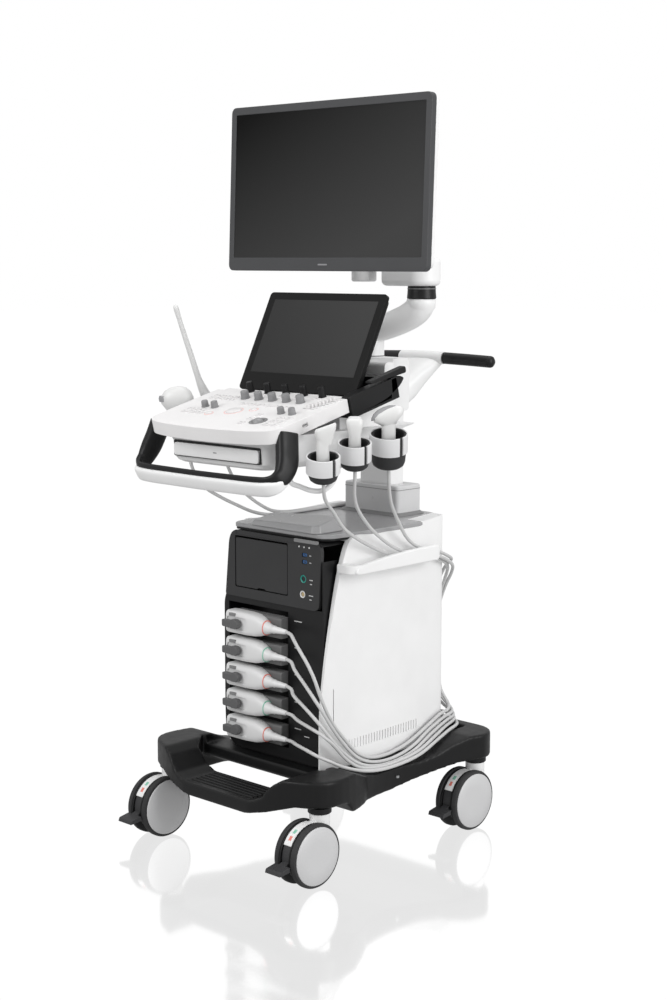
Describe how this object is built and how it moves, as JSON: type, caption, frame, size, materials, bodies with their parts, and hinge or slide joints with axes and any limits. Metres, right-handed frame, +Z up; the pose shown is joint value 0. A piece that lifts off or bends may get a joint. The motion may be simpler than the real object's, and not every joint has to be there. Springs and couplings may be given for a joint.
{
  "type": "ultrasound machine",
  "caption": "Wheeled diagnostic ultrasound machine: arm-mounted monitor, tilting touch screen, sloped console with trackball, probe cups, probes on leads and locking casters.",
  "frame": {"origin": "on the floor, under the middle of the machine's footprint", "axes": "+Z up, -Y towards the operator, +X to the operator's right"},
  "size_m": [0.5676, 0.6958, 1.4944],
  "materials": {
    "white_shell": "satin white moulded plastic",
    "black_shell": "fine-textured black plastic",
    "charcoal_shell": "satin charcoal plastic",
    "grey_deck": "glossy mid-grey translucent-looking plastic",
    "pale_grey": "satin pale grey plastic",
    "probe_white": "satin off-white plastic",
    "lead_jacket": "smooth soft light grey jacket",
    "tread_rubber": "matt dark rubber",
    "pedal": "matt dark plastic",
    "screen_glass": "black glass-fronted display",
    "sheet_steel": "zinc-plated sheet steel",
    "trackball_grey": "polished grey ball"
  },
  "bodies": {
    "chassis": {"base_frame": "black_shell", "front_housing": "black_shell", "port_panel": "charcoal_shell", "thermal_printer": "sheet_steel", "side_panel_right": "white_shell", "side_panel_left": "white_shell", "rear_cover": "white_shell", "top_deck": "grey_deck", "column_outer": "grey_deck", "card_cage": "sheet_steel", "power_supply": "sheet_steel", "transducer_connector_1": "pale_grey", "transducer_connector_2": "pale_grey", "transducer_connector_3": "pale_grey", "transducer_connector_4": "pale_grey", "transducer_connector_5": "pale_grey", "lead_1": "lead_jacket", "lead_2": "lead_jacket", "lead_3": "lead_jacket", "lead_4": "lead_jacket", "lead_5": "lead_jacket"},
    "printer_door": {"printer_door": "charcoal_shell"},
    "console": {"column_inner": "white_shell", "console_shell": "white_shell", "console_under": "white_shell", "front_handle": "black_shell", "touch_base": "black_shell", "rear_handle": "white_shell", "cable_hook": "white_shell", "probe_holder_right": "pale_grey", "probe_holder_left": "pale_grey", "probe_linear": "probe_white", "probe_phased": "probe_white", "probe_convex": "probe_white", "probe_wide_convex": "probe_white", "probe_cavity": "probe_white"},
    "keyboard_drawer": {"keyboard_drawer": "white_shell"},
    "trackball": {"trackball": "trackball_grey"},
    "touch_screen": {"touch_screen": "screen_glass"},
    "arm_lower": {"arm_lower": "white_shell"},
    "arm_upper": {"arm_upper": "white_shell"},
    "monitor_mount": {"monitor_mount": "white_shell"},
    "monitor": {"monitor": "charcoal_shell"},
    "caster_front_right": {"caster_fork_front_right": "white_shell"},
    "wheels_front_right": {"caster_wheels_front_right": "tread_rubber"},
    "pedal_front_right": {"brake_pedal_front_right": "pedal"},
    "caster_front_left": {"caster_fork_front_left": "white_shell"},
    "wheels_front_left": {"caster_wheels_front_left": "tread_rubber"},
    "pedal_front_left": {"brake_pedal_front_left": "pedal"},
    "caster_rear_right": {"caster_fork_rear_right": "white_shell"},
    "wheels_rear_right": {"caster_wheels_rear_right": "tread_rubber"},
    "pedal_rear_right": {"brake_pedal_rear_right": "pedal"},
    "caster_rear_left": {"caster_fork_rear_left": "white_shell"},
    "wheels_rear_left": {"caster_wheels_rear_left": "tread_rubber"},
    "pedal_rear_left": {"brake_pedal_rear_left": "pedal"},
    "lock_lever_1": {"lock_lever_1": "charcoal_shell"},
    "lock_lever_2": {"lock_lever_2": "charcoal_shell"},
    "lock_lever_3": {"lock_lever_3": "charcoal_shell"},
    "lock_lever_4": {"lock_lever_4": "charcoal_shell"},
    "lock_lever_5": {"lock_lever_5": "charcoal_shell"}
  },
  "joints": [
    {"name": "caster_swivel_front_right", "type": "hinge", "parent": "chassis", "child": "caster_front_right", "pos_m": [0.2318, -0.2219, 0.1], "axis": [0, 0, 1], "continuous": true},
    {"name": "wheel_spin_front_right", "type": "hinge", "parent": "caster_front_right", "child": "wheels_front_right", "pos_m": [0.2318, -0.2559, 0.0625], "axis": [1, 0, 0], "continuous": true},
    {"name": "brake_pedal_front_right", "type": "hinge", "parent": "caster_front_right", "child": "pedal_front_right", "pos_m": [0.2318, -0.2979, 0.058], "axis": [1, 0, 0], "range_deg": [-15, 0]},
    {"name": "caster_swivel_front_left", "type": "hinge", "parent": "chassis", "child": "caster_front_left", "pos_m": [-0.1982, -0.2219, 0.1], "axis": [0, 0, 1], "continuous": true},
    {"name": "wheel_spin_front_left", "type": "hinge", "parent": "caster_front_left", "child": "wheels_front_left", "pos_m": [-0.1982, -0.2559, 0.0625], "axis": [1, 0, 0], "continuous": true},
    {"name": "brake_pedal_front_left", "type": "hinge", "parent": "caster_front_left", "child": "pedal_front_left", "pos_m": [-0.1982, -0.2979, 0.058], "axis": [1, 0, 0], "range_deg": [-15, 0]},
    {"name": "caster_swivel_rear_right", "type": "hinge", "parent": "chassis", "child": "caster_rear_right", "pos_m": [0.2318, 0.2461, 0.1], "axis": [0, 0, 1], "continuous": true},
    {"name": "wheel_spin_rear_right", "type": "hinge", "parent": "caster_rear_right", "child": "wheels_rear_right", "pos_m": [0.2318, 0.2121, 0.0625], "axis": [1, 0, 0], "continuous": true},
    {"name": "brake_pedal_rear_right", "type": "hinge", "parent": "caster_rear_right", "child": "pedal_rear_right", "pos_m": [0.2318, 0.1701, 0.058], "axis": [1, 0, 0], "range_deg": [-15, 0]},
    {"name": "caster_swivel_rear_left", "type": "hinge", "parent": "chassis", "child": "caster_rear_left", "pos_m": [-0.1982, 0.2461, 0.1], "axis": [0, 0, 1], "continuous": true},
    {"name": "wheel_spin_rear_left", "type": "hinge", "parent": "caster_rear_left", "child": "wheels_rear_left", "pos_m": [-0.1982, 0.2121, 0.0625], "axis": [1, 0, 0], "continuous": true},
    {"name": "brake_pedal_rear_left", "type": "hinge", "parent": "caster_rear_left", "child": "pedal_rear_left", "pos_m": [-0.1982, 0.1701, 0.058], "axis": [1, 0, 0], "range_deg": [-15, 0]},
    {"name": "lock_lever_1", "type": "hinge", "parent": "chassis", "child": "lock_lever_1", "pos_m": [-0.0542, -0.1829, 0.454], "axis": [0, 1, 0], "range_deg": [0, 90]},
    {"name": "lock_lever_2", "type": "hinge", "parent": "chassis", "child": "lock_lever_2", "pos_m": [-0.0542, -0.1829, 0.3995], "axis": [0, 1, 0], "range_deg": [0, 90]},
    {"name": "lock_lever_3", "type": "hinge", "parent": "chassis", "child": "lock_lever_3", "pos_m": [-0.0542, -0.1829, 0.345], "axis": [0, 1, 0], "range_deg": [0, 90]},
    {"name": "lock_lever_4", "type": "hinge", "parent": "chassis", "child": "lock_lever_4", "pos_m": [-0.0542, -0.1829, 0.2905], "axis": [0, 1, 0], "range_deg": [0, 90]},
    {"name": "lock_lever_5", "type": "hinge", "parent": "chassis", "child": "lock_lever_5", "pos_m": [-0.0542, -0.1829, 0.236], "axis": [0, 1, 0], "range_deg": [0, 90]},
    {"name": "printer_door", "type": "hinge", "parent": "chassis", "child": "printer_door", "pos_m": [-0.0132, -0.1319, 0.6165], "axis": [1, 0, 0], "range_deg": [-90, 0]},
    {"name": "console_lift", "type": "slide", "parent": "chassis", "child": "console", "axis": [0, 0, 1], "range_m": [0, 0.2]},
    {"name": "keyboard_drawer", "type": "slide", "parent": "console", "child": "keyboard_drawer", "axis": [0, -1, 0], "range_m": [0, 0.18]},
    {"name": "trackball", "type": "hinge", "parent": "console", "child": "trackball", "pos_m": [0.1088, -0.2593, 0.8722], "axis": [1, 0, 0], "continuous": true},
    {"name": "touch_screen_tilt", "type": "hinge", "parent": "console", "child": "touch_screen", "pos_m": [0.0168, -0.01986, 0.9545], "axis": [1, 0, 0], "range_deg": [-20, 20]},
    {"name": "arm_lower_swivel", "type": "hinge", "parent": "console", "child": "arm_lower", "pos_m": [0.0168, 0.1561, 1.02], "axis": [0, 0, 1], "range_deg": [-20, 60]},
    {"name": "arm_upper_swivel", "type": "hinge", "parent": "arm_lower", "child": "arm_upper", "pos_m": [0.1388, 0.1721, 1.112], "axis": [0, 0, 1], "range_deg": [-90, 90]},
    {"name": "monitor_swivel", "type": "hinge", "parent": "arm_upper", "child": "monitor_mount", "pos_m": [-0.0058, 0.1561, 1.165], "axis": [0, 0, 1], "range_deg": [-90, 20]},
    {"name": "monitor_tilt", "type": "hinge", "parent": "monitor_mount", "child": "monitor", "pos_m": [-0.0058, 0.09588, 1.26843], "axis": [1, 0, 0], "range_deg": [-20, 10]}
  ]
}
